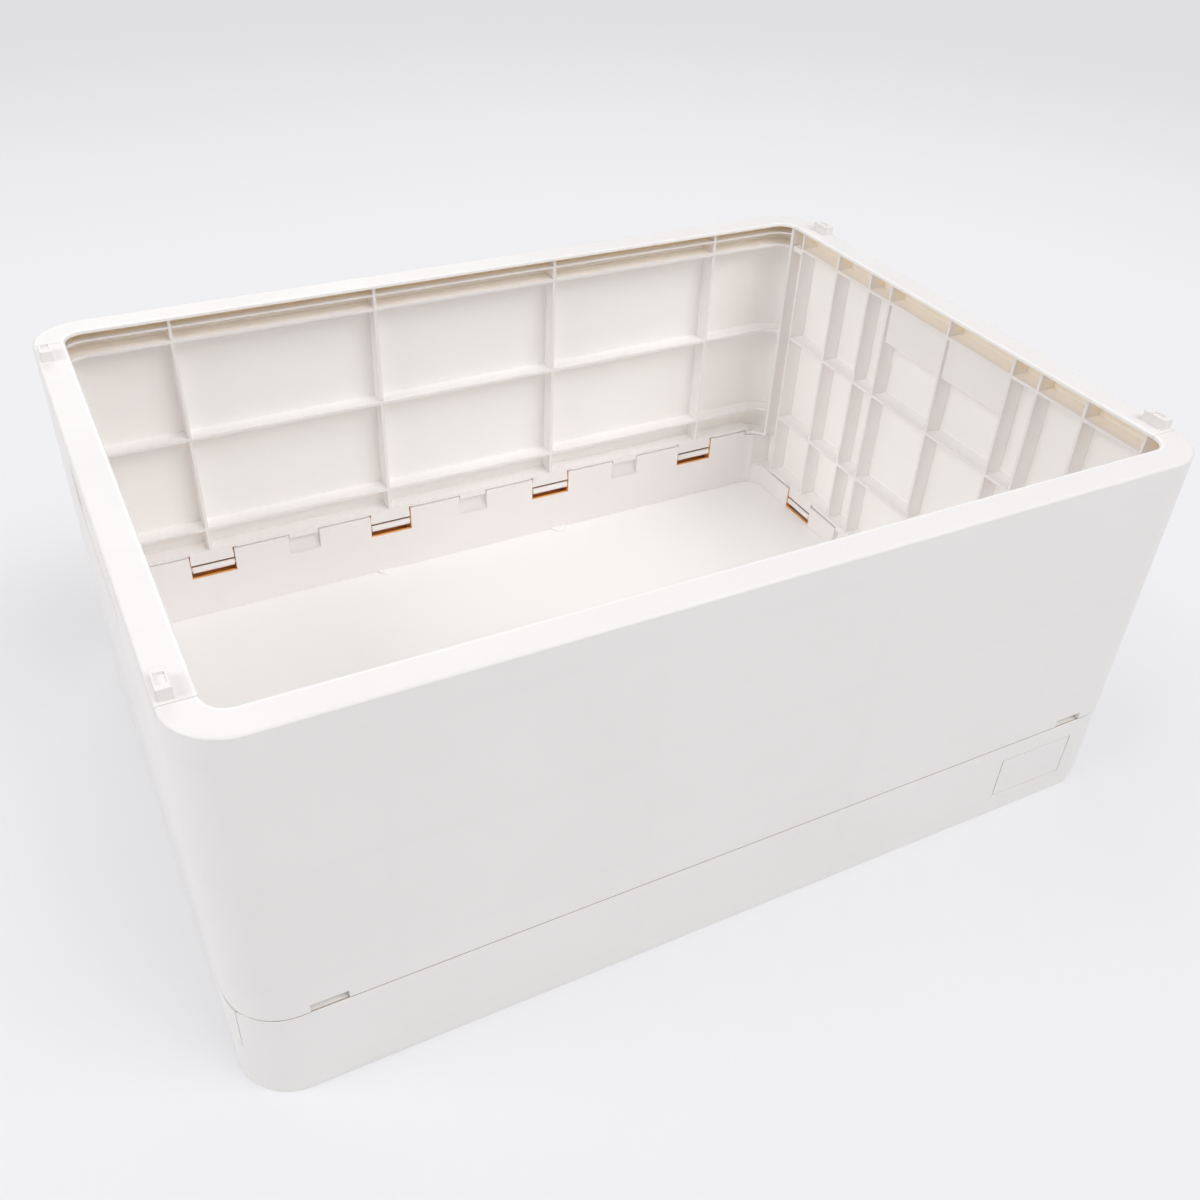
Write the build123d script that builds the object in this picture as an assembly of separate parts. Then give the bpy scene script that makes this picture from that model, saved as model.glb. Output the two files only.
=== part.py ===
from build123d import *
import os
from collections import namedtuple
from math import hypot, sqrt

# A folding storage crate for papers: a low double-skinned tray and four hinged walls.
# Millimetres. Z is up, the length runs along X, the front is at -Y, and the origin is
# at the middle of the tray's underside. The two end walls fold in first, then the two
# long walls, which carry the rounded corners, fold down over them.

# Overall sizes
box_length = 530.0
box_width = 384.0
box_height = 229.0
corner_radius = 28.0

# Moulded section of every wall
wall_depth = 14.0
skin = 2.3
rib = 2.0
rim_width = 16.8
rim_thickness = 2.0
rim_round = 1.6
rim_inner_round = 0.8

# Tray
side_top = 56.4
end_top = 28.5
floor_top = 12.0
floor_thickness = 2.5
foot_round = 1.5
post_reach = 16.0
under_rib_pitch = 50.0
under_rib_gap = 2.0

# Hinges
hinge_setback = 3.0
side_hinge_height = 48.5
end_hinge_height = 18.0
pin_diameter = 3.5
running_clearance = 0.08
barrel_gap = 0.1
tab_width = 28.0
tab_thickness = 3.0
tab_setback = 0.8
tab_flare = 0.6
tab_shoulder = 7.0
tab_lip = 4.1
tab_web = 1.7
window_side_gap = 1.0
window_drop = 3.0
end_window_drop = 2.5
side_hinge_pitch = 126.0
end_hinge_pitch = 116.0

# Gaps between pieces
seam_gap = 0.5
corner_gap = 0.3
swing_gap = 0.4
flange_rise = 1.2

# Ribs on the inside of the walls
lower_rib_height = 79.0
middle_rib_height = 146.0
ledge_drop = 16.8
thin_rib_drop = 7.6
thin_rib = 1.2
shelf_drop = 15.0
side_flange_inset = 5.0
end_flange_inset = 5.0
inner_rib_at = 58.0
outer_rib_at = 80.0

# Catches that hold the walls upright
catch_width = 20.0
catch_thickness = 1.8
catch_drop = 3.2
pocket_side_gap = 1.0
pocket_depth = 4.0
pocket_height = 9.0
pocket_slope = 4.5
pocket_wall = 1.5
corner_catch_drop = 15.0
corner_catch_height = 4.0
corner_catch_thickness = 4.5

# Hand grip in each end wall
grip_length = 114.0
grip_height = 25.0
grip_depth = 9.5
grip_round = 3.0

# Stacking lugs on the end walls' rim
lug_length = 14.0
lug_width = 6.2
lug_height = 5.5
lug_end_gap = 5.0
lug_shift = 3.0
lug_pocket_length = 7.0
lug_pocket_depth = 1.2
lug_pocket_wall = 1.1

# Lifting notches in the lower edge of the long walls
notch_length = 18.0
notch_height = 5.0
notch_from_corner = 5.0

# Bare frame for a label on the tray's front, and floor bosses
label_length = 53.0
label_height = 29.5
label_low = 15.0
label_from_end = 34.0
groove = 1.0
groove_depth = 0.5
boss_radius = 6.0
boss_height = 1.2
boss_at = 70.0

# Derived places
half_length = box_length / 2
half_width = box_width / 2
wall_split = half_width - corner_radius
straight_half = half_length - corner_radius
post_start = half_width - post_reach
axis_depth = wall_depth - hinge_setback
outer_depth = axis_depth - skin
window_width = tab_width + 2 * window_side_gap
cheek = skin
bore_radius = pin_diameter / 2 + running_clearance
barrel_radius = hinge_setback - barrel_gap
deck_under = side_top - skin

# The long wall's outer skin ends just above the tray, and its flange stays outside the
# circle that the tray's tongue fills, so the wall can turn about its pins
side_low = side_top + seam_gap
tongue_radius = hypot(outer_depth, side_low - side_hinge_height) - swing_gap
tongue_top = side_hinge_height + sqrt(tongue_radius**2 - hinge_setback**2)
side_flange_low = side_hinge_height + tongue_radius + swing_gap

# The end wall's flange clears the tray's inner edge in the same way, with room to spare
end_low = end_top + seam_gap
end_flange_low = end_hinge_height + hypot(hinge_setback, end_top - end_hinge_height) + swing_gap + flange_rise

# The end wall's lower wings pass under the long wall's corners as the end wall turns. The
# inside of the tray's rounded corners stays within the circle that their lower edge makes
wing_top = end_hinge_height + sqrt((side_low - end_hinge_height - swing_gap) ** 2 - axis_depth**2)
wing_reach = post_start - seam_gap
wing_inside = sqrt((corner_radius - skin) ** 2 - (wing_reach - wall_split) ** 2)
wing_offset = wing_inside - (corner_radius - axis_depth)
wing_radius = hypot(wing_offset, end_low - end_hinge_height) - swing_gap

# One side of the box, described from its outer face inwards
Side = namedtuple("Side", "reach turn hinge_height flange_low tray_top window_low deck hinges catches")

long_side = Side(
    reach=half_width,
    turn=0,
    hinge_height=side_hinge_height,
    flange_low=side_flange_low,
    tray_top=tongue_top,
    window_low=side_hinge_height - hinge_setback - window_drop,
    deck=side_top,
    hinges=[side_hinge_pitch * k for k in (-1.5, -0.5, 0.5, 1.5)],
    catches=[side_hinge_pitch * k for k in (-1, 0, 1)],
)
end_side = Side(
    reach=half_length,
    turn=-90,
    hinge_height=end_hinge_height,
    flange_low=end_flange_low,
    tray_top=end_top,
    window_low=end_hinge_height - hinge_setback - end_window_drop,
    deck=end_top,
    hinges=[end_hinge_pitch * k for k in (-1, 0, 1)],
    catches=[end_hinge_pitch * k for k in (-0.5, 0.5)],
)


def block(x0, x1, y0, y1, z0, z1):
    """A box between two corners."""
    middle = Pos((x0 + x1) / 2, (y0 + y1) / 2, (z0 + z1) / 2)
    return middle * Box(x1 - x0, y1 - y0, z1 - z0)


def slab(inset, z0, z1):
    """The crate's rounded outline, set in from the outside, as a solid."""
    outline = RectangleRounded(box_length - 2 * inset, box_width - 2 * inset, corner_radius - inset)
    return extrude(Plane.XY.offset(z0) * outline, z1 - z0)


def ring(outer, inner, z0, z1):
    """A band that follows the outline, between two insets."""
    return slab(outer, z0, z1) - slab(inner, z0 - 1, z1 + 1)


def bar(side, along, depth, height):
    """A box on one side of the crate, with depth measured in from its outer face."""
    box = block(along[0], along[1], side.reach - depth[1], side.reach - depth[0], height[0], height[1])
    return Rot(0, 0, side.turn) * box


def plate(side, outline, depth):
    """A flat plate in the wall's plane, its outline given as places along and heights."""
    face = Plane.XZ.offset(depth[0] - side.reach) * Polygon(*outline, align=None)
    return Rot(0, 0, side.turn) * extrude(face, depth[1] - depth[0], dir=(0, -1, 0))


def moulding(side, along, section):
    """A length of one section, which is given as depths and heights."""
    points = [(side.reach - depth, height) for depth, height in section]
    face = Plane.YZ.offset(along[0]) * Polygon(*points, align=None)
    return Rot(0, 0, side.turn) * extrude(face, along[1] - along[0], dir=(1, 0, 0))


def rod(side, middle, length, radius):
    """A round bar on a side's hinge axis."""
    place = Pos(middle, side.reach - axis_depth, side.hinge_height) * Rot(0, 90, 0)
    return Rot(0, 0, side.turn) * place * Cylinder(radius, length)


def centred(middle, width):
    """The two ends of a stretch about its middle."""
    return (middle - width / 2, middle + width / 2)


def both_sides(side, shape):
    """The shape and its mirror image on the opposite side of the crate."""
    plane = Plane.XZ if side.turn == 0 else Plane.YZ
    return [shape, mirror(shape, about=plane)]


# Tray


def tray_shell():
    """Double-skinned rim, high along the sides and corners, low along the ends."""
    low_part = slab(0, 0, end_top)
    high_part = slab(0, 0, side_top) & (
        block(-half_length, half_length, post_start, half_width, 0, side_top)
        + block(-half_length, half_length, -half_width, -post_start, 0, side_top)
    )
    shell = low_part + high_part
    shell = fillet(shell.faces().sort_by(Axis.Z)[0].edges(), foot_round)
    shell -= slab(wall_depth, -1, side_top + 1)
    shell -= ring(skin, wall_depth - skin, -1, end_top - skin)
    upper_hollow = ring(skin, wall_depth - skin, -1, deck_under)
    inside_post = post_start + skin
    for low, high in ((inside_post, half_width), (-half_width, -inside_post)):
        shell -= upper_hollow & block(-half_length, half_length, low, high, -1, deck_under)
    return shell


def post_relief():
    """What the long wall's corner sweeps as it turns, cut from the top of a corner post."""
    reach = side_low - side_hinge_height - swing_gap
    axis_y = half_width - axis_depth
    corner = block(straight_half, half_length, post_start - 1, axis_y, side_hinge_height, side_top + 1)
    round_part = Pos(half_length - corner_radius / 2, axis_y, side_hinge_height) * Rot(0, 90, 0)
    return corner - round_part * Cylinder(reach, corner_radius + 2)


def wing_relief():
    """What the end wall's wing sweeps as it turns, cut from the inside of a tray corner."""
    axis_x = half_length - axis_depth
    corner = block(straight_half, axis_x, wall_split, post_start, end_hinge_height, end_top + 1)
    along = (wall_split + post_start) / 2
    round_part = Pos(axis_x, along, end_hinge_height) * Rot(90, 0, 0)
    return corner - round_part * Cylinder(wing_radius, post_start - wall_split + 2)


def tray_hinges(side):
    """Windows, cheeks and pin sockets for one side's hinges."""
    cheeks = []
    cuts = []
    for middle in side.hinges:
        inside = (skin / 2, wall_depth - skin / 2)
        span = window_width + 2 * cheek
        low = side.window_low - cheek
        cheeks.append(bar(side, centred(middle, span), inside, (low, side.deck - skin / 2)))
        tongue = (wall_depth - 2 * hinge_setback - barrel_gap, wall_depth + 1)
        cuts.append(bar(side, centred(middle, window_width), tongue, (side.window_low, side.tray_top + 1)))
        behind = (skin, wall_depth - skin)
        cuts.append(bar(side, centred(middle, window_width), behind, (low - 1, side.deck - skin)))
        cuts.append(rod(side, middle, span, pin_diameter / 2))
    return cheeks, cuts


def tray_pockets(side):
    """Pockets that the walls' catches drop into, each with a sloping foot."""
    boxes = []
    cuts = []
    width = catch_width + 2 * pocket_side_gap
    low = side.deck - pocket_height + pocket_wall
    foot = low - pocket_slope
    back = wall_depth - pocket_depth
    behind = back - pocket_wall
    inside = wall_depth - skin / 2
    under_deck = side.deck - skin / 2
    above = side.tray_top + 1
    box = [(behind, under_deck), (behind, low - pocket_wall), (inside, foot - pocket_wall), (inside, under_deck)]
    opening = [(back, above), (back, low), (wall_depth, foot), (wall_depth + 1, foot), (wall_depth + 1, above)]
    for middle in side.catches:
        boxes.append(moulding(side, centred(middle, width + 2 * pocket_wall), box))
        cuts.append(moulding(side, centred(middle, width), opening))
    return boxes, cuts


def under_ribs():
    """Stiffening ribs under the floor."""
    top = floor_top - floor_thickness / 2
    reach_x = half_length - wall_depth + skin / 2
    reach_y = half_width - wall_depth + skin / 2
    ribs = []
    for k in range(-int(reach_x // under_rib_pitch), int(reach_x // under_rib_pitch) + 1):
        x0, x1 = centred(k * under_rib_pitch, rib)
        ribs.append(block(x0, x1, -reach_y, reach_y, under_rib_gap, top))
    for k in range(-int(reach_y // under_rib_pitch), int(reach_y // under_rib_pitch) + 1):
        y0, y1 = centred(k * under_rib_pitch, rib)
        ribs.append(block(-reach_x, reach_x, y0, y1, under_rib_gap, top))
    return ribs


def label_groove():
    """A shallow bare frame near the right end of the tray's front."""
    right = half_length - label_from_end
    left = right - label_length
    high = label_low + label_height
    face = -half_width
    outer = block(left, right, face - 1, face + groove_depth, label_low, high)
    return outer - block(left + groove, right - groove, face - 2, 0, label_low + groove, high - groove)


def floor_bosses():
    """Half-round bosses where the floor meets the long sides."""
    bosses = []
    for x in (-boss_at, boss_at):
        for y in (-1, 1):
            place = Pos(x, y * (half_width - wall_depth), floor_top - boss_height / 2)
            bosses.append(place * Cylinder(boss_radius, 3 * boss_height))
    keep = slab(wall_depth - skin / 2, floor_top - boss_height, floor_top + boss_height)
    return [boss & keep for boss in bosses]


def make_tray():
    tray = tray_shell()
    tray += slab(wall_depth - skin / 2, floor_top - floor_thickness, floor_top)
    tray += under_ribs()
    tray += floor_bosses()
    tongue_depth = (wall_depth - 2 * hinge_setback, wall_depth)
    tongue_along = (-straight_half + 1, straight_half - 1)
    tongue = bar(long_side, tongue_along, tongue_depth, (side_top - skin / 2, tongue_top))
    tray += both_sides(long_side, tongue)
    for relief in (post_relief(), wing_relief()):
        for shape in (relief, mirror(relief, about=Plane.YZ)):
            tray -= both_sides(long_side, shape)
    added = []
    removed = [label_groove()]
    for side in (long_side, end_side):
        for make in (tray_hinges, tray_pockets):
            solids, cuts = make(side)
            for shape in solids:
                added += both_sides(side, shape)
            for shape in cuts:
                removed += both_sides(side, shape)
    tray += added
    return tray - removed


# Walls


def rim(z_top):
    """The flat rim on top of the walls, its edges rounded."""
    band = ring(0, rim_width, z_top - rim_thickness, z_top)
    band = fillet(band.faces().sort_by(Axis.Z)[-1].outer_wire().edges(), rim_round)
    return fillet(band.faces().sort_by(Axis.Z)[-1].inner_wires()[0].edges(), rim_inner_round)


def level_rib(height, thickness=rib):
    """A rib that runs along the inside at one height."""
    return ring(skin / 2, wall_depth, height - thickness / 2, height + thickness / 2)


def upright_rib(side, along, low, high):
    """A rib that stands on the inside of a wall."""
    return bar(side, centred(along, rib), (skin / 2, wall_depth), (low, high))


def wall_hinges(side):
    """Tabs that reach down into the tray, each with a lip over a bored barrel."""
    solids = []
    cuts = []
    depth = (wall_depth - tab_setback - tab_thickness, wall_depth - tab_setback)
    axis = side.hinge_height
    shoulder = axis + tab_shoulder
    root = side.flange_low + rib / 2
    for middle in side.hinges:
        left, right = centred(middle, tab_width)
        wide_left, wide_right = left - tab_flare, right + tab_flare
        outline = [
            (wide_left, axis),
            (wide_right, axis),
            (wide_right, shoulder),
            (right, root),
            (left, root),
            (wide_left, shoulder),
        ]
        groove = (depth[0] + tab_web, wall_depth)
        tab = plate(side, outline, depth)
        tab -= bar(side, centred(middle, window_width), groove, (axis - 1, axis + tab_lip))
        solids.append(tab)
        solids.append(rod(side, middle, tab_width, barrel_radius))
        cuts.append(rod(side, middle, window_width, bore_radius))
        step = (wall_depth - tab_setback, wall_depth + 1)
        around = centred(middle, window_width + 2 * rib)
        cuts.append(bar(side, around, step, (side.flange_low - 1, side.flange_low + rib + rib / 2)))
    return solids, cuts


def wall_catches(side):
    """Tongues on the flange that snap into the tray's pockets."""
    front = (wall_depth - catch_thickness, wall_depth)
    height = (side.flange_low - catch_drop, side.flange_low + rib / 2)
    return [bar(side, centred(middle, catch_width), front, height) for middle in side.catches]


def make_long_wall():
    """The back wall, with both rounded corners of its side."""
    top = box_height
    under_rim = top - rim_thickness / 2
    end_face = wall_split + corner_gap / 2
    whole = block(-half_length, half_length, end_face, half_width, side_low, top)
    wall = (ring(0, skin, side_low, under_rim) + rim(top)) & whole

    flange_start = wall_split + side_flange_inset
    inner = block(-half_length, half_length, flange_start, half_width, side_low, top)
    ribs = ring(skin / 2, wall_depth, side_low, side_low + rib)
    for height in (lower_rib_height, middle_rib_height, top - ledge_drop):
        ribs += level_rib(height)
    ribs += level_rib(top - thin_rib_drop, thin_rib)
    middle_part = block(-straight_half, straight_half, flange_start, half_width, 0, side_flange_low)
    ribs = (ribs - middle_part) & inner
    closing = block(-half_length, half_length, flange_start, flange_start + rib, side_low, under_rim)
    ribs += ring(skin / 2, wall_depth, side_low, under_rim) & closing

    flange = bar(
        long_side,
        (-straight_half, straight_half),
        (skin / 2, wall_depth),
        (side_flange_low, side_flange_low + rib),
    )
    uprights = [flange]
    for along in long_side.hinges:
        uprights.append(upright_rib(long_side, along, side_flange_low, under_rim))
    for along in (-straight_half - rib / 2, straight_half + rib / 2):
        uprights.append(upright_rib(long_side, along, side_low, side_flange_low + rib))

    solids, cuts = wall_hinges(long_side)
    wall = wall + ribs + uprights + wall_catches(long_side) + solids
    for end in (-1, 1):
        near = straight_half - notch_from_corner
        far = near - notch_length
        along = (min(end * near, end * far), max(end * near, end * far))
        cuts.append(bar(long_side, along, (-1, skin + 1), (side_low - 1, side_low + notch_height)))
    return wall - cuts


def grip_pocket():
    """The closed recess that fingers reach into under the end wall's shelf."""
    top = box_height - shelf_drop - rib / 2
    along = centred(0, grip_length)
    outer = bar(
        end_side,
        centred(0, grip_length + 2 * rib),
        (skin / 2, grip_depth + skin),
        (top - grip_height - rib, top + rib / 2),
    )
    recess = bar(end_side, along, (-1, grip_depth), (top - grip_height, top))
    recess = fillet(recess.edges().filter_by(Axis.X), grip_round)
    return outer, recess


def lug(end):
    """A stacking lug with a shallow pocket in its top."""
    far = wall_split - lug_end_gap + end * lug_shift
    along = (min(end * far, end * (far - lug_length)), max(end * far, end * (far - lug_length)))
    depth = (skin, skin + lug_width)
    body = bar(end_side, along, depth, (box_height - rim_thickness / 2, box_height + lug_height))
    pocket_along = centred((along[0] + along[1]) / 2, lug_pocket_length)
    pocket = bar(
        end_side,
        pocket_along,
        (depth[0] + lug_pocket_wall, depth[1] - lug_pocket_wall),
        (box_height + lug_height - lug_pocket_depth, box_height + lug_height + 1),
    )
    return body - pocket


def corner_catch(end):
    """A block that bridges the gap to the long wall's end flange."""
    start = wall_split - end_flange_inset - rib
    stop = wall_split + side_flange_inset - seam_gap
    along = (min(end * start, end * stop), max(end * start, end * stop))
    high = box_height - corner_catch_drop
    depth = (wall_depth - corner_catch_thickness, wall_depth)
    return bar(end_side, along, depth, (high - corner_catch_height, high))


def make_end_wall():
    """The right end wall, flat between the long walls' corners."""
    top = box_height
    under_rim = top - rim_thickness / 2
    side_face = wall_split - corner_gap / 2
    whole = block(0, half_length, -side_face, side_face, end_low, top)
    wall = (ring(0, skin, end_low, under_rim) + rim(top)) & whole

    wing_band = block(straight_half, half_length, -wing_reach, wing_reach, end_low, wing_top)
    wall += ring(0, skin, end_low, wing_top) & wing_band

    flange_at = wall_split - end_flange_inset - rib / 2
    across = (-flange_at, flange_at)
    shelf = box_height - shelf_drop
    pieces = []
    for height in (lower_rib_height, middle_rib_height, shelf):
        pieces.append(bar(end_side, across, (skin / 2, wall_depth), centred(height, rib)))
    flange_height = (end_flange_low, end_flange_low + rib)
    pieces.append(bar(end_side, across, (skin / 2, wall_depth), flange_height))
    for along in (-flange_at, flange_at):
        pieces.append(upright_rib(end_side, along, end_flange_low, under_rim))
    inner_ribs = (-outer_rib_at, -inner_rib_at, inner_rib_at, outer_rib_at)
    for along in (*end_side.hinges, *inner_ribs):
        pieces.append(upright_rib(end_side, along, end_flange_low, under_rim))
    for end in (-1, 1):
        pieces.append(lug(end))
        pieces.append(corner_catch(end))
    grip, recess = grip_pocket()
    solids, cuts = wall_hinges(end_side)
    wall = wall + pieces + [grip] + wall_catches(end_side) + solids
    return wall - cuts - recess


def make_pins(side):
    """One side's hinge pins, each a separate round bar."""
    length = window_width + 2 * cheek
    return [rod(side, middle, length, pin_diameter / 2) for middle in side.hinges]


# The finished pieces

back_wall = make_long_wall()
right_end_wall = make_end_wall()
back_pins = make_pins(long_side)
right_pins = make_pins(end_side)

nodes = {
    "base_tray": make_tray(),
    "back_wall": back_wall,
    "front_wall": mirror(back_wall, about=Plane.XZ),
    "right_end_wall": right_end_wall,
    "left_end_wall": mirror(right_end_wall, about=Plane.YZ),
    "back_hinge_pins": Compound(children=back_pins),
    "front_hinge_pins": Compound(children=[mirror(pin, about=Plane.XZ) for pin in back_pins]),
    "right_hinge_pins": Compound(children=right_pins),
    "left_hinge_pins": Compound(children=[mirror(pin, about=Plane.YZ) for pin in right_pins]),
}

os.makedirs("parts", exist_ok=True)
for name, shape in nodes.items():
    export_step(shape, f"parts/{name}.step")
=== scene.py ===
"""Looks of a folding storage crate: a tray, four hinged walls and their pins.

Metres. Z is up, the length runs along X, the front is at -Y and the origin is at the middle
of the tray's underside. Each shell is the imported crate's own, merged, with its moulded
edges rounded and its plastic built from nodes.
"""

from math import hypot, radians

import bpy
from bpy.props import FloatProperty, FloatVectorProperty, PointerProperty
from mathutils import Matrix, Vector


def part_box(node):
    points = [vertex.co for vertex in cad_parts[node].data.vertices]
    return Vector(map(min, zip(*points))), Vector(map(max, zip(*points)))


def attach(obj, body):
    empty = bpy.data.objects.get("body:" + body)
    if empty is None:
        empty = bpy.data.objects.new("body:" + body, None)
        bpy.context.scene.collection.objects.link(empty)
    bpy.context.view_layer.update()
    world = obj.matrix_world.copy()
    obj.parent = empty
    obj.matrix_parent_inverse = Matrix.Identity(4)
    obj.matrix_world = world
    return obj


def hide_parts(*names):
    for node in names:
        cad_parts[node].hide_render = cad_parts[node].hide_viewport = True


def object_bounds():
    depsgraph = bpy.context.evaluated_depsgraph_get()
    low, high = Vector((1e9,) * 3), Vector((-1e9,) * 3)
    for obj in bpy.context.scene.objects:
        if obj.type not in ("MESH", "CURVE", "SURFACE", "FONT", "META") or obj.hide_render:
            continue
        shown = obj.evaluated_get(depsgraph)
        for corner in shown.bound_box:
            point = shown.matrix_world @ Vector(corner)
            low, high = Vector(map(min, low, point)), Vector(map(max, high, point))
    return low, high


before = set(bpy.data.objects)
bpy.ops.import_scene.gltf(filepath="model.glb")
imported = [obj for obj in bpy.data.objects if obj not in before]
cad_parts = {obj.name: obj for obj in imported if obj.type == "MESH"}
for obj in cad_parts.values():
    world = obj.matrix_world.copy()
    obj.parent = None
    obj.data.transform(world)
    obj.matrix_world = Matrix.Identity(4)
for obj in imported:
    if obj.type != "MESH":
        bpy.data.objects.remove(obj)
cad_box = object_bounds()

bl_info = {
    "name": "Folding Storage Crate",
    "version": (1, 0, 0),
    "blender": (4, 5, 0),
    "location": "3D View > Sidebar > Crate",
    "description": "Dresses a folding crate in moulded polypropylene and lights it",
    "category": "Object",
}

# The crate's outline, in metres
half_length, half_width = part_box("base_tray")[1][:2]
corner = 0.028

# Heights of the outer edges at the seams, over the tray's sides and over its lower ends, and
# how far an end's edge runs to each side of the middle, in metres
side_top, side_low = 0.0564, 0.0569
end_top, end_low = 0.0285, 0.029
end_run = 0.1735

# Depths in from the outline, in millimetres, which the plastic's nodes count in
seam_depth = 1.2
panel_face, rib_face = 4.0, 13.5
speck_depth = 18.0

# Heights in millimetres
floor_top = 14.0
channel_low, channel_high = 213.0, 221.0
rim_under = 227.2
height_reach = 235.0

# Shares: what a sink mark leaves of the colour, and how far patches and specks cover it
sink_shade = 0.993
patch_share = 0.6
speck_share = 0.7

# The hinges' places in millimetres. The hollows behind them repeat at a pitch along one axis,
# reach so far to each side of it, and lie in a band across the other. Their painted colour,
# an amber glow on the tray and a brown shadow in the walls' grooves, starts at a first height,
# is full from a second and ends at a third.
long_hinge = {"along": "X", "first": 63.0, "pitch": 126.0, "across": "Y"}
end_hinge = {"along": "Y", "first": 0.0, "pitch": 116.0, "across": "X"}
tray_hinge_reach, wall_hinge_reach = 15.3, 14.7

# What differs from piece to piece, in millimetres: the upright ribs' axis, distances from the
# middle and the ramp's reach, the level ribs' heights, the hollows at the hinges, the heights
# between which the painted shadow line in the crack under a wall lies, and the axis that the
# walls with specks face
tray_marks = {
    "ribs": ("X", (63, 189), 300.0),
    "levels": (12,),
    "hollows": (
        {
            **long_hinge,
            "reach": tray_hinge_reach,
            "band": (178.25, 189.95),
            "height": (16.0, 30.0, 55.5),
        },
        {
            **long_hinge,
            "reach": tray_hinge_reach,
            "band": (178.25, 182.1),
            "height": (50.0, 54.0, 60.0),
        },
        {
            **end_hinge,
            "reach": tray_hinge_reach,
            "band": (251.25, 262.95),
            "height": (3.0, 9.0, 27.6),
        },
    ),
    "seam": (56.25, 56.5),
    "specks_on": "Y",
}
long_wall_marks = {
    "ribs": ("X", (63, 189), 300.0),
    "levels": (79, 146, 213),
    "hollows": (
        {
            **long_hinge,
            "reach": wall_hinge_reach,
            "band": (177.9, 184.1),
            "height": (50.98, 51.0, 52.65),
        },
    ),
    "seam": (56.8, 57.15),
    "specks_on": "Y",
}
end_wall_marks = {
    "ribs": ("Y", (58, 80, 116), 200.0),
    "levels": (79, 146, 213),
    "hollows": (
        {
            **end_hinge,
            "reach": wall_hinge_reach,
            "band": (250.9, 257.1),
            "height": (20.48, 20.5, 22.15),
        },
    ),
    "seam": (28.9, 29.25),
    "specks_on": "X",
}

# The paper sweep in metres: its side, how far it lies under the crate, and the distances from
# the crate between which its tone turns to the far, darker one, a painted shade for the
# light's fall-off. At the crate's foot it shows a share of its plain tone, and from a distance
# on nothing else.
sweep_side = 16.0
sweep_gap = 0.0002
tone_near, tone_far = 0.45, 1.9
plain_from, plain_share = 0.26, 0.4

# Soft boxes: name, place, width in metres and power in watts
soft_boxes = (
    ("front_right_soft_box", (1.1, -1.75, 2.6), 2.2, 51.0),
    ("left_soft_box", (-2.2, 0.0, 1.8), 1.8, 29.5),
    ("top_soft_box", (0.0, 0.0, 2.8), 2.4, 6.5),
    ("back_soft_box", (0.3, 2.7, 1.9), 1.8, 17.0),
)
room_strength = 0.3

# The camera: place in metres, turn in degrees, lens in millimetres and shift of the frame
camera_place = (-0.28247, -0.52758, 0.53283)
camera_turn = (52.312, -2.1, -26.952)
camera_lens = 36.43
camera_shift = (0.00866, 0.0149)


def linear(code):
    """An sRGB hex colour as the linear light that a shader socket takes."""
    values = [int(code[i : i + 2], 16) / 255 for i in (1, 3, 5)]
    return tuple(v / 12.92 if v <= 0.04045 else ((v + 0.055) / 1.055) ** 2.4 for v in values)


def length(name, description, default):
    return FloatProperty(
        name=name,
        description=description,
        default=default,
        min=0.0,
        precision=5,
        unit="LENGTH",
        subtype="DISTANCE",
    )


def colour(name, description, code):
    return FloatVectorProperty(
        name=name,
        description=description,
        default=linear(code),
        min=0.0,
        max=1.0,
        size=3,
        subtype="COLOR",
    )


class CrateSizes(bpy.types.PropertyGroup):
    edge_round: length("Edge round", "Radius that the mould leaves on every small edge", 0.0004)
    tray_round: length("Tray round", "Radius of the tray's outer top edges", 0.0009)
    wall_round: length("Wall round", "Radius of the walls' outer lower edges", 0.0005)
    grain: length("Grain", "Width of one grain, drawn coarser than the real 0.2 mm", 0.0009)
    grain_depth: length("Grain depth", "Height of the moulded texture", 0.000012)
    flow: length("Flow width", "Width of the slow waves that cooling leaves in the panels", 0.07)
    flow_depth: length("Flow depth", "Height of the slow waves in the panels", 0.0001)
    sink_width: length("Sink width", "Width of the sink mark over a rib", 0.006)
    sink_depth: length("Sink depth", "Depth of the sink mark over a rib", 0.00002)
    reach_in: length("Reach in", "Distance from the outline at which the inside starts", 0.015)
    skin: length("Skin", "Depth under the outer face at which the hollows start", 0.0006)
    speck_pitch: length("Speck pitch", "Average distance between specks on the inner faces", 0.055)
    speck_size: length("Speck size", "Radius of one speck", 0.0006)


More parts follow.
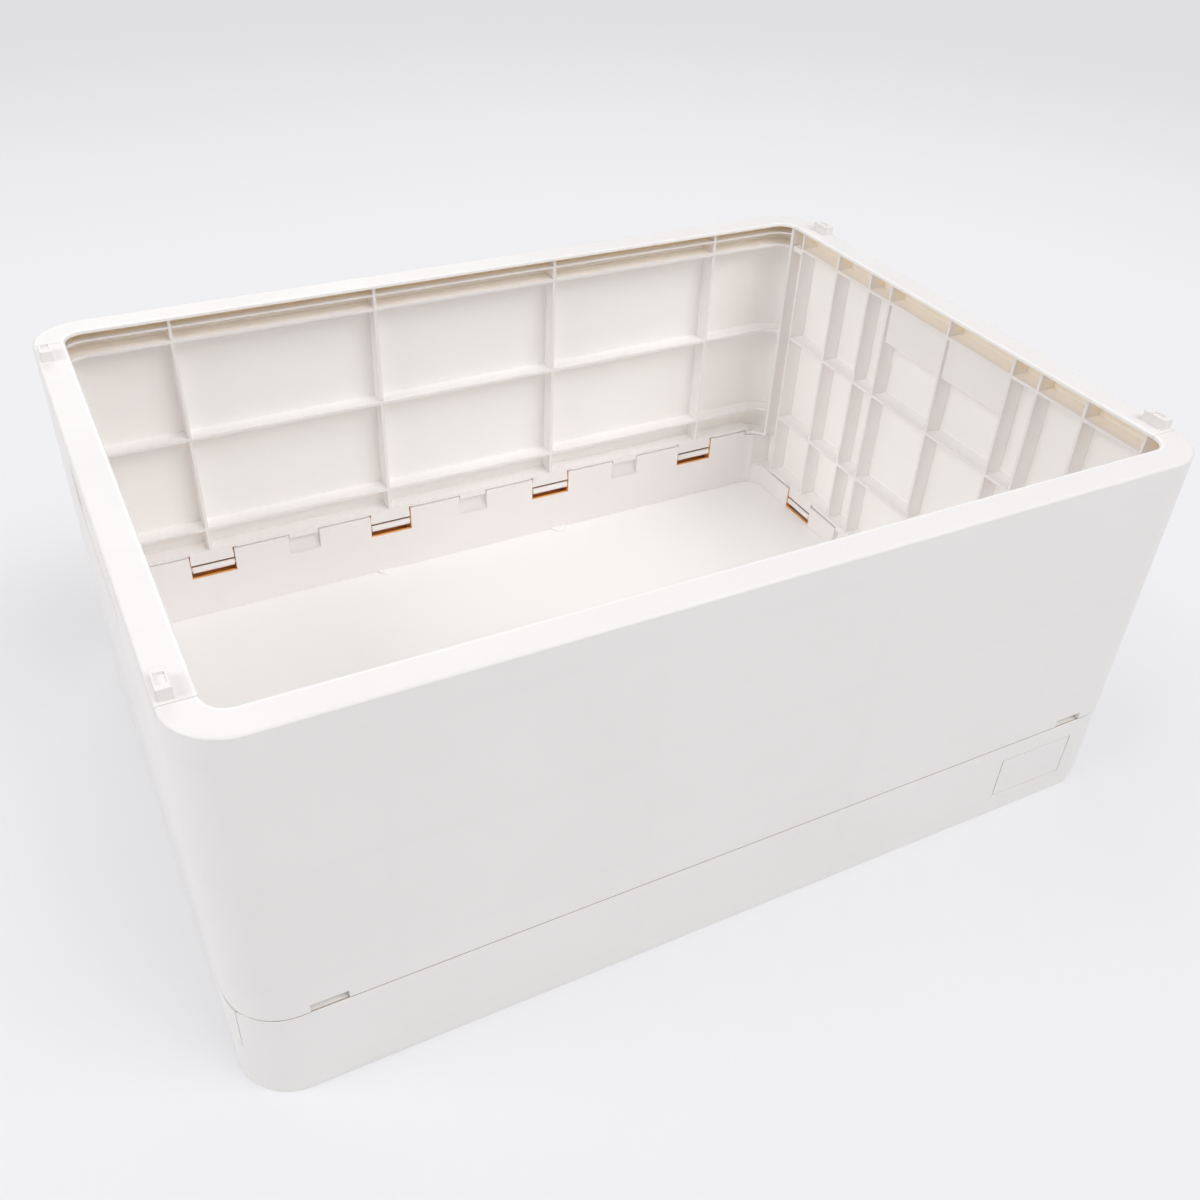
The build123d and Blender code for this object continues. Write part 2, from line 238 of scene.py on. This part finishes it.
class CrateColours(bpy.types.PropertyGroup):
    shell: colour("Shell", "Off-white polypropylene of the tray and the walls", "#F5F2F1")
    patch: colour("Patch", "Slightly duller patches of the same plastic", "#F2EFEE")
    # Painted light: inside the walls a paler colour stands in for the light they pass to each other
    inside: colour("Inside", "The plastic where the walls pass light to each other", "#FAF9F8")
    # Painted light: a paler colour down between the ribs stands in for light bounced between them
    deep_painted_light: colour("Deep", "The plastic down between the ribs", "#FBF9F7")
    # Painted light: a pale yellowish tint stands in for light bounced about in the channel under
    # the rim
    under_rim_painted_glow: colour("Under the rim", "The plastic in the narrow channel under the rim", "#FFF4DF")
    # Painted light: the amber stands in for light scattered to and fro in the hollows behind the
    # hinges
    recess_painted_glow: colour("Recess", "Amber of the hollows behind the hinges", "#FFBC6C")
    # Painted shadow: the brown in the groove over each hinge bar stands in for the shadow under the
    # tab
    groove: colour("Groove", "Brown shade in the thin groove over each hinge bar", "#8C6846")
    # Painted shadow: a darker colour in the crack between a wall and the tray stands in for its
    # shade
    seam: colour("Seam", "Shade in the crack between a wall and the tray", "#B4A89C")
    speck: colour("Speck", "Dust and scuff marks inside", "#6E6660")
    pin: colour("Pin", "Natural polypropylene of the hinge pins", "#F3F2EE")
    floor_near: colour("Floor near", "Paper sweep around the crate", "#EDEDEF")
    floor_lit: colour("Floor lit", "Tone of the paper sweep past the crate's shadow", "#F1F1F3")
    # Painted shade: the darker far tone stands in for the fall-off of the light away from the crate
    floor_far: colour("Floor far", "Tone of the paper sweep far behind the crate", "#E0E0E3")


# Nodes


def add_node(tree, kind, settings=None, inputs=None):
    """Adds a node, sets its properties and gives its inputs values or links."""
    node = tree.nodes.new(kind)
    for key, value in (settings or {}).items():
        setattr(node, key, value)
    for key, value in (inputs or {}).items():
        if isinstance(value, bpy.types.NodeSocket):
            tree.links.new(value, node.inputs[key])
        else:
            node.inputs[key].default_value = value
    return node


def new_material(name):
    material = bpy.data.materials.new(name)
    material.use_nodes = True
    material.node_tree.nodes.clear()
    return material


def finish_surface(tree, shader):
    add_node(tree, "ShaderNodeOutputMaterial", inputs={"Surface": shader.outputs[0]})


def millimetres(tree):
    """Object coordinates counted in millimetres."""
    place = add_node(tree, "ShaderNodeTexCoord").outputs["Object"]
    return add_node(
        tree, "ShaderNodeVectorMath", {"operation": "SCALE"}, {0: place, "Scale": 1000.0}
    ).outputs[0]


def beyond(tree, place, edges):
    """How far a point lies outside an upright box round the origin, measured level."""
    folded = add_node(tree, "ShaderNodeVectorMath", {"operation": "ABSOLUTE"}, {0: place})
    past = add_node(
        tree, "ShaderNodeVectorMath", {"operation": "SUBTRACT"}, {0: folded.outputs[0], 1: edges}
    )
    level = add_node(
        tree,
        "ShaderNodeVectorMath",
        {"operation": "MULTIPLY"},
        {0: past.outputs[0], 1: (1.0, 1.0, 0.0)},
    )
    outward = add_node(
        tree,
        "ShaderNodeVectorMath",
        {"operation": "MAXIMUM"},
        {0: level.outputs[0], 1: (0.0, 0.0, 0.0)},
    )
    return add_node(
        tree, "ShaderNodeVectorMath", {"operation": "LENGTH"}, {0: outward.outputs[0]}
    ).outputs["Value"]


def overlap(tree, first, *others):
    """A mask that is white only where all of these are."""
    for other in others:
        first = add_node(
            tree, "ShaderNodeMath", {"operation": "MULTIPLY"}, {0: first, 1: other}
        ).outputs[0]
    return first


def painted(tree, base, layers):
    """A base colour with others laid over it in turn, each where its mask is white."""
    for mask, tint in layers:
        base = add_node(
            tree,
            "ShaderNodeMix",
            {"data_type": "RGBA"},
            {"Factor": mask, "A": base, "B": (*tint, 1.0)},
        ).outputs["Result"]
    return base


def rib_lines(tree, along, places, reach, width):
    """A ramp that is white over each rib and black between them, for one coordinate."""
    folded = add_node(tree, "ShaderNodeMath", {"operation": "ABSOLUTE"}, {0: along})
    share = add_node(
        tree, "ShaderNodeMath", {"operation": "DIVIDE"}, {0: folded.outputs[0], 1: reach}
    )
    ramp = add_node(tree, "ShaderNodeValToRGB", inputs={"Fac": share.outputs[0]})
    ramp.color_ramp.interpolation = "EASE"
    elements = ramp.color_ramp.elements
    stops = []
    for place in places:
        stops += [(place - width, 0.0), (place, 1.0), (place + width, 0.0)]
    for index, (place, value) in enumerate(stops):
        spot = min(max(place / reach, 0.0), 1.0)
        # A new ramp has two stops of its own
        stop = elements[index] if index < 2 else elements.new(spot)
        stop.position = spot
        stop.color = (value, value, value, 1.0)
    return ramp.outputs["Color"]


def hollow(tree, split, box):
    """White in a box that repeats at each hinge, along one side and the side opposite."""
    shifted = add_node(
        tree,
        "ShaderNodeMath",
        {"operation": "SUBTRACT"},
        {0: split.outputs[box["along"]], 1: box["first"]},
    )
    spot = add_node(
        tree,
        "ShaderNodeMath",
        {"operation": "PINGPONG"},
        {0: shifted.outputs[0], 1: box["pitch"] / 2},
    )
    near = add_node(
        tree, "ShaderNodeMath", {"operation": "LESS_THAN"}, {0: spot.outputs[0], 1: box["reach"]}
    )
    side = add_node(
        tree, "ShaderNodeMath", {"operation": "ABSOLUTE"}, {0: split.outputs[box["across"]]}
    )
    low, high = box["band"]
    band = add_node(
        tree,
        "ShaderNodeMath",
        {"operation": "COMPARE"},
        {0: side.outputs[0], 1: (low + high) / 2, 2: (high - low) / 2},
    )
    dark, full, top = box["height"]
    rise = add_node(
        tree,
        "ShaderNodeMapRange",
        {"interpolation_type": "SMOOTHSTEP"},
        {"Value": split.outputs["Z"], "From Min": dark, "From Max": full},
    )
    under = add_node(
        tree, "ShaderNodeMath", {"operation": "LESS_THAN"}, {0: split.outputs["Z"], 1: top}
    )
    return overlap(tree, rise.outputs[0], near.outputs[0], band.outputs[0], under.outputs[0])


def specks(tree, sizes, place, split, out, specks_on):
    """Dots about 1 mm across, far apart, on the inner faces over the floor."""
    pressed = [1.0, 1.0, 1.0]
    pressed["XYZ".index(specks_on)] = 0.001
    pitch, radius = sizes.speck_pitch * 1000, sizes.speck_size * 1000
    wall = add_node(tree, "ShaderNodeVectorMath", {"operation": "MULTIPLY"}, {0: place, 1: pressed})
    dots = add_node(
        tree, "ShaderNodeTexVoronoi", inputs={"Vector": wall.outputs[0], "Scale": 1 / pitch}
    )
    dot = add_node(
        tree,
        "ShaderNodeMapRange",
        inputs={
            "Value": dots.outputs["Distance"],
            "From Min": radius / pitch,
            "From Max": radius / 2 / pitch,
            "To Max": speck_share,
        },
    )
    above = add_node(
        tree, "ShaderNodeMath", {"operation": "GREATER_THAN"}, {0: split.outputs["Z"], 1: floor_top}
    )
    near_wall = add_node(
        tree,
        "ShaderNodeMath",
        {"operation": "GREATER_THAN"},
        {0: out, 1: corner * 1000 - speck_depth},
    )
    return overlap(tree, dot.outputs[0], above.outputs[0], near_wall.outputs[0])


def moulded_polypropylene(name, sizes, colours, hinge_painted_tint, ribs, levels, hollows, seam, specks_on):
    """Injection-moulded polypropylene, spark-eroded finish: an even off-white with a satin
    sheen, sink lines over the ribs, and painted light and shade where close walls would pass
    light to and fro."""
    material = new_material(name)
    tree = material.node_tree
    place = millimetres(tree)
    split = add_node(tree, "ShaderNodeSeparateXYZ", inputs={0: place})
    height = split.outputs["Z"]

    # Sink marks are a dull line, a shade darker, on the face over each rib
    axis, places, reach = ribs
    width = sizes.sink_width * 1000
    upright = rib_lines(tree, split.outputs[axis], places, reach, width)
    level = rib_lines(tree, height, levels, height_reach, width)
    sinks = add_node(
        tree, "ShaderNodeMath", {"operation": "MAXIMUM"}, {0: upright, 1: level}
    ).outputs[0]

    # Slow waves and patches from uneven cooling, about 70 mm across
    flow = add_node(
        tree,
        "ShaderNodeTexNoise",
        inputs={
            "Vector": place,
            "Scale": 1 / (sizes.flow * 1000),
            "Detail": 2.0,
            "Roughness": 0.5,
        },
    ).outputs[0]

    # Spark-eroded grain, real size 0.2 mm, drawn at about 0.9 mm so that it shows
    grain = add_node(
        tree,
        "ShaderNodeTexNoise",
        inputs={
            "Vector": place,
            "Scale": 1 / (sizes.grain * 1000),
            "Detail": 3.0,
            "Roughness": 0.6,
        },
    ).outputs[0]

    patches = add_node(
        tree,
        "ShaderNodeMapRange",
        inputs={"Value": flow, "From Min": 0.35, "From Max": 0.7, "To Max": patch_share},
    )
    shade = painted(tree, (*colours.shell, 1.0), [(patches.outputs[0], colours.patch)])
    dull = add_node(
        tree, "ShaderNodeMapRange", inputs={"Value": sinks, "To Min": 1.0, "To Max": sink_shade}
    )
    base = add_node(
        tree, "ShaderNodeVectorMath", {"operation": "SCALE"}, {0: shade, "Scale": dull.outputs[0]}
    ).outputs[0]

    # Distance out from the outline's straight core, the corner radius at the outer face
    face = corner * 1000
    core = ((half_length - corner) * 1000, (half_width - corner) * 1000, 0.0)
    out = beyond(tree, place, core)
    inner = add_node(
        tree,
        "ShaderNodeMath",
        {"operation": "LESS_THAN"},
        {0: out, 1: face - sizes.skin * 1000},
    ).outputs[0]

    # Painted light: inside the walls the colour is made paler, standing in for the light that the
    # facing walls send back
    inside_painted_light_mask = add_node(
        tree,
        "ShaderNodeMath",
        {"operation": "LESS_THAN"},
        {0: out, 1: face - sizes.reach_in * 1000},
    ).outputs[0]

    # Painted light: between the ribs the colour turns paler the deeper it lies, most of all in
    # the channel under the rim, where the painted tint is yellowish too
    down = add_node(
        tree,
        "ShaderNodeMapRange",
        inputs={"Value": out, "From Min": face - rib_face, "From Max": face - panel_face},
    )
    covered = add_node(
        tree, "ShaderNodeMath", {"operation": "LESS_THAN"}, {0: height, 1: rim_under}
    )
    deep_painted_light = overlap(tree, down.outputs[0], inner, covered.outputs[0])
    channel = add_node(
        tree,
        "ShaderNodeMapRange",
        {"interpolation_type": "SMOOTHSTEP"},
        {"Value": height, "From Min": channel_low, "From Max": channel_high},
    )

    # Painted shadow: the crack between a wall and the tray shows as a thin dark line
    low, high = seam
    line = add_node(
        tree,
        "ShaderNodeMath",
        {"operation": "COMPARE"},
        {0: height, 1: (low + high) / 2, 2: (high - low) / 2},
    )
    outer = add_node(
        tree, "ShaderNodeMath", {"operation": "GREATER_THAN"}, {0: out, 1: face - seam_depth}
    )

    # Painted light and shade over the plastic: paler inside the walls and between the ribs,
    # yellowish in the channel under the rim, an amber glow in the tray's hinge hollows and a
    # brown shadow in the walls' hinge grooves, as light goes to and fro between the skins, and a
    # dark line in the crack under a wall. The specks are real dust.
    layers = [
        (inside_painted_light_mask, colours.inside),
        (deep_painted_light, colours.deep_painted_light),
        (overlap(tree, deep_painted_light, channel.outputs[0]), colours.under_rim_painted_glow),
        *((hollow(tree, split, box), hinge_painted_tint) for box in hollows),
        (overlap(tree, line.outputs[0], outer.outputs[0]), colours.seam),
        (overlap(tree, specks(tree, sizes, place, split, out, specks_on), inner), colours.speck),
    ]
    base = painted(tree, base, layers)

    # Small edges catch light as rounded ones, then height: grain over sink marks over waves
    normal = add_node(
        tree, "ShaderNodeBevel", {"samples": 4}, {"Radius": sizes.edge_round}
    ).outputs[0]
    relief = (
        (flow, sizes.flow_depth, False),
        (sinks, sizes.sink_depth, True),
        (grain, sizes.grain_depth, False),
    )
    for pattern, depth, sunken in relief:
        normal = add_node(
            tree,
            "ShaderNodeBump",
            {"invert": sunken},
            {"Height": pattern, "Distance": depth, "Strength": 1.0, "Normal": normal},
        ).outputs[0]
    satin = add_node(
        tree,
        "ShaderNodeMapRange",
        inputs={"Value": flow, "From Min": 0.3, "From Max": 0.7, "To Min": 0.42, "To Max": 0.52},
    )
    shader = add_node(
        tree,
        "ShaderNodeBsdfPrincipled",
        inputs={"Base Color": base, "Roughness": satin.outputs[0], "IOR": 1.49, "Normal": normal},
    )
    finish_surface(tree, shader)
    return material


def drawn_rod(colours):
    """Extruded polypropylene rod: smoother and a little glossier than the moulded shells,
    with fine draw marks."""
    material = new_material("polypropylene_rod_extruded")
    tree = material.node_tree
    place = millimetres(tree)
    marks = add_node(
        tree, "ShaderNodeTexNoise", inputs={"Vector": place, "Scale": 2.0, "Detail": 2.0}
    ).outputs[0]
    tone = add_node(
        tree, "ShaderNodeMapRange", inputs={"Value": marks, "To Min": 0.97, "To Max": 1.0}
    )
    base = add_node(
        tree,
        "ShaderNodeVectorMath",
        {"operation": "SCALE"},
        {0: tuple(colours.pin), "Scale": tone.outputs[0]},
    )
    bump = add_node(
        tree, "ShaderNodeBump", inputs={"Height": marks, "Distance": 0.00001, "Strength": 1.0}
    )
    shader = add_node(
        tree,
        "ShaderNodeBsdfPrincipled",
        inputs={
            "Base Color": base.outputs[0],
            "Roughness": 0.32,
            "IOR": 1.49,
            "Normal": bump.outputs[0],
        },
    )
    finish_surface(tree, shader)
    return material


def seen_ray(tree):
    """One for rays from the camera, from a mirror or through glass, and nought for light."""
    ray = add_node(tree, "ShaderNodeLightPath")
    total = ray.outputs["Is Camera Ray"]
    for kind in ("Is Glossy Ray", "Is Transmission Ray"):
        total = add_node(
            tree, "ShaderNodeMath", {"operation": "MAXIMUM"}, {0: total, 1: ray.outputs[kind]}
        ).outputs[0]
    return total


def paper_sweep(colours):
    """Studio background paper: matte, with a faint tooth, paler near the crate and darker far from
    it, a painted shade for the fall-off of the light.
    """
    material = new_material("background_paper_matte")
    tree = material.node_tree
    place = add_node(tree, "ShaderNodeTexCoord").outputs["Object"]
    away = beyond(tree, place, (half_length, half_width, 0.0))
    # Painted shade: the seen tone darkens far from the crate, for the fall-off of the light
    far = add_node(
        tree,
        "ShaderNodeMapRange",
        {"interpolation_type": "SMOOTHSTEP"},
        {"Value": away, "From Min": tone_near, "From Max": tone_far},
    )
    tone = painted(tree, (*colours.floor_lit, 1.0), [(far.outputs[0], colours.floor_far)])
    tooth = add_node(
        tree, "ShaderNodeTexNoise", inputs={"Vector": place, "Scale": 900.0, "Detail": 2.0}
    ).outputs[0]
    bump = add_node(
        tree, "ShaderNodeBump", inputs={"Height": tooth, "Distance": 0.00005, "Strength": 0.5}
    )
    paper = add_node(
        tree,
        "ShaderNodeBsdfPrincipled",
        inputs={
            "Base Color": (*colours.floor_near, 1.0),
            "Roughness": 0.9,
            "Specular IOR Level": 0.2,
            "Normal": bump.outputs[0],
        },
    )
    # Past the shadow the sweep shows its own plain tone, which meets the room's with no edge
    glow = add_node(tree, "ShaderNodeEmission", inputs={"Color": tone, "Strength": 1.0})
    share = add_node(
        tree,
        "ShaderNodeMapRange",
        {"interpolation_type": "SMOOTHSTEP"},
        {"Value": away, "From Min": 0.0, "From Max": plain_from, "To Min": plain_share},
    )
    seen = overlap(tree, share.outputs[0], seen_ray(tree))
    shader = add_node(
        tree, "ShaderNodeMixShader", inputs={0: seen, 1: paper.outputs[0], 2: glow.outputs[0]}
    )
    finish_surface(tree, shader)
    return material


# Pieces


def merged_copy(context, node, name):
    """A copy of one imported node, its loose triangles merged into whole faces."""
    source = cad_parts[node]
    piece = bpy.data.objects.new(name, source.data.copy())
    piece.data.name = name
    context.scene.collection.objects.link(piece)
    bpy.ops.object.select_all(action="DESELECT")
    piece.select_set(True)
    context.view_layer.objects.active = piece
    bpy.ops.object.mode_set(mode="EDIT")
    bpy.ops.mesh.select_all(action="SELECT")
    bpy.ops.mesh.customdata_custom_splitnormals_clear()
    bpy.ops.mesh.remove_doubles(threshold=0.000002)
    bpy.ops.mesh.dissolve_limited(angle_limit=radians(0.5))
    bpy.ops.mesh.select_all(action="DESELECT")
    bpy.ops.object.mode_set(mode="OBJECT")
    return piece


def inset(x, y):
    """How far a point lies in from the crate's rounded outline."""
    past_x, past_y = abs(x) - (half_length - corner), abs(y) - (half_width - corner)
    if past_x > 0 and past_y > 0:
        return corner - hypot(past_x, past_y)
    return corner - max(past_x, past_y)


def round_outline(context, piece, height, width, reach=half_width):
    """Rounds the edges that follow the outline at one height, up to a distance off the middle."""
    near = 0.00004
    mesh = piece.data
    for part in (mesh.vertices, mesh.edges, mesh.polygons):
        part.foreach_set("select", [False] * len(part))
    count = 0
    for edge in mesh.edges:
        ends = [mesh.vertices[index].co for index in edge.vertices]
        if all(
            abs(end.z - height) < near
            and inset(end.x, end.y) < near
            and abs(end.y) <= reach + near
            for end in ends
        ):
            edge.select = True
            count += 1
            for index in edge.vertices:
                mesh.vertices[index].select = True
    if not count:
        raise RuntimeError(f"{piece.name} has no outline edge at {height}")
    context.tool_settings.mesh_select_mode = (False, True, False)
    bpy.ops.object.mode_set(mode="EDIT")
    bpy.ops.mesh.bevel(offset=width, segments=3, affect="EDGES", clamp_overlap=False)
    bpy.ops.mesh.select_all(action="DESELECT")
    bpy.ops.object.mode_set(mode="OBJECT")
    context.tool_settings.mesh_select_mode = (True, False, False)


def dress(context, node, name, body, material, rounds=()):
    """Puts a copy with softened edges in a node's place, in its own plastic."""
    piece = merged_copy(context, node, name)
    for spot in rounds:
        round_outline(context, piece, *spot)
    bpy.ops.object.shade_smooth_by_angle(angle=radians(50))
    weighted = piece.modifiers.new("shading", "WEIGHTED_NORMAL")
    weighted.keep_sharp = True
    weighted.weight = 100
    bpy.ops.object.modifier_apply(modifier=weighted.name)
    piece.data.materials.clear()
    piece.data.materials.append(material)
    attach(piece, body)
    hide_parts(node)
    if not piece.data.polygons:
        raise RuntimeError(f"{name} has no faces")


class CRATE_OT_tray(bpy.types.Operator):
    """Dress the double-skinned tray with its floor, hinge windows and catch pockets"""

    bl_idname = "crate.tray"
    bl_label = "Tray"

    def execute(self, context):
        sizes, colours = context.scene.crate_sizes, context.scene.crate_colours
        plastic = moulded_polypropylene(
            "polypropylene_moulded_tray", sizes, colours, colours.recess_painted_glow, **tray_marks
        )
        rounds = ((side_top, sizes.tray_round), (end_top, sizes.tray_round, end_run))
        dress(context, "base_tray", "tray_shell", "tray", plastic, rounds)
        return {"FINISHED"}


class CRATE_OT_long_walls(bpy.types.Operator):
    """Dress the front and back walls, which carry the crate's rounded corners"""

    bl_idname = "crate.long_walls"
    bl_label = "Long Walls"

    def execute(self, context):
        sizes, colours = context.scene.crate_sizes, context.scene.crate_colours
        plastic = moulded_polypropylene(
            "polypropylene_moulded_long_wall", sizes, colours, colours.groove, **long_wall_marks
        )
        rounds = ((side_low, sizes.wall_round),)
        for side in ("front", "back"):
            node, body = f"{side}_wall", f"{side}_side"
            dress(context, node, f"{node}_shell", body, plastic, rounds)
        return {"FINISHED"}


class CRATE_OT_end_walls(bpy.types.Operator):
    """Dress the two end walls with their hand grips and stacking lugs"""

    bl_idname = "crate.end_walls"
    bl_label = "End Walls"

    def execute(self, context):
        sizes, colours = context.scene.crate_sizes, context.scene.crate_colours
        plastic = moulded_polypropylene(
            "polypropylene_moulded_end_wall", sizes, colours, colours.groove, **end_wall_marks
        )
        rounds = ((end_low, sizes.wall_round),)
        for side in ("left", "right"):
            node, body = f"{side}_end_wall", f"{side}_end"
            dress(context, node, f"{node}_shell", body, plastic, rounds)
        return {"FINISHED"}


class CRATE_OT_hinge_pins(bpy.types.Operator):
    """Dress the round pins on which the four walls turn"""

    bl_idname = "crate.hinge_pins"
    bl_label = "Hinge Pins"

    def execute(self, context):
        plastic = drawn_rod(context.scene.crate_colours)
        for side in ("front", "back", "left", "right"):
            dress(context, f"{side}_hinge_pins", f"{side}_pins", "tray", plastic)
        return {"FINISHED"}


def add_sweep(colours):
    """Lays the paper under the crate."""
    bpy.ops.object.select_all(action="DESELECT")
    bpy.ops.mesh.primitive_grid_add(
        x_subdivisions=16, y_subdivisions=16, size=sweep_side, location=(0.0, 0.0, -sweep_gap)
    )
    bpy.ops.object.transform_apply(location=True, rotation=True, scale=True)
    floor = bpy.context.object
    floor.name = "paper_floor"
    floor.data.materials.append(paper_sweep(colours))


def add_room(scene, colours):
    """A plain white room, whose own pale grey is seen only where the paper ends."""
    world = bpy.data.worlds.new("soft_room")
    scene.world = world
    world.use_nodes = True
    tree = world.node_tree
    tree.nodes.clear()
    white = (1.0, 1.0, 1.0, 1.0)
    room = add_node(
        tree, "ShaderNodeBackground", inputs={"Color": white, "Strength": room_strength}
    )
    seen = add_node(
        tree, "ShaderNodeBackground", inputs={"Color": (*colours.floor_far, 1.0), "Strength": 1.0}
    )
    either = add_node(
        tree,
        "ShaderNodeMixShader",
        inputs={0: seen_ray(tree), 1: room.outputs[0], 2: seen.outputs[0]},
    )
    add_node(tree, "ShaderNodeOutputWorld", inputs={"Surface": either.outputs[0]})


def add_lamp(scene, name, place, target, size, power):
    """A square soft box that faces a point."""
    data = bpy.data.lights.new(name, "AREA")
    data.shape = "SQUARE"
    data.size = size
    data.energy = power
    lamp = bpy.data.objects.new(name, data)
    scene.collection.objects.link(lamp)
    lamp.location = place
    aim = lamp.location - target
    lamp.rotation_euler = aim.to_track_quat("Z", "Y").to_euler()


def add_camera(scene):
    """The camera at the photo's place."""
    data = bpy.data.cameras.new("photo_camera")
    data.sensor_fit = "HORIZONTAL"
    data.sensor_width = 36.0
    data.lens = camera_lens
    data.shift_x, data.shift_y = camera_shift
    data.clip_start, data.clip_end = 0.01, 50.0
    camera = bpy.data.objects.new("photo_camera", data)
    scene.collection.objects.link(camera)
    camera.location = camera_place
    camera.rotation_euler = [radians(turn) for turn in camera_turn]
    scene.camera = camera


class CRATE_OT_stage(bpy.types.Operator):
    """Set up the paper sweep, the soft studio light and the camera"""

    bl_idname = "crate.stage"
    bl_label = "Stage"

    def execute(self, context):
        scene, colours = context.scene, context.scene.crate_colours
        scene.view_settings.view_transform = "Standard"
        # Light goes to and fro many times between pale walls before it fades
        scene.cycles.max_bounces = 16
        scene.cycles.diffuse_bounces = 12
        add_sweep(colours)
        add_room(scene, colours)
        centre = (cad_box[0] + cad_box[1]) / 2
        for name, place, size, power in soft_boxes:
            add_lamp(scene, name, place, centre, size, power)
        add_camera(scene)
        return {"FINISHED"}


class CRATE_PT_panel(bpy.types.Panel):
    """Sizes, colours and pieces of the crate"""

    bl_label = "Folding Storage Crate"
    bl_idname = "CRATE_PT_panel"
    bl_space_type = "VIEW_3D"
    bl_region_type = "UI"
    bl_category = "Crate"

    def draw(self, context):
        layout = self.layout
        for group in (context.scene.crate_sizes, context.scene.crate_colours):
            box = layout.box()
            for key in group.__annotations__:
                box.prop(group, key)
        for operator in operators:
            layout.operator(operator.bl_idname)


operators = (
    CRATE_OT_tray,
    CRATE_OT_long_walls,
    CRATE_OT_end_walls,
    CRATE_OT_hinge_pins,
    CRATE_OT_stage,
)
classes = (CrateSizes, CrateColours, *operators, CRATE_PT_panel)


def register():
    for item in classes:
        bpy.utils.register_class(item)
    bpy.types.Scene.crate_sizes = PointerProperty(type=CrateSizes)
    bpy.types.Scene.crate_colours = PointerProperty(type=CrateColours)


def unregister():
    del bpy.types.Scene.crate_colours
    del bpy.types.Scene.crate_sizes
    for item in reversed(classes):
        bpy.utils.unregister_class(item)


def main():
    register()
    bpy.ops.crate.tray()
    bpy.ops.crate.long_walls()
    bpy.ops.crate.end_walls()
    bpy.ops.crate.hinge_pins()
    bpy.ops.crate.stage()


if __name__ == "__main__":
    main()
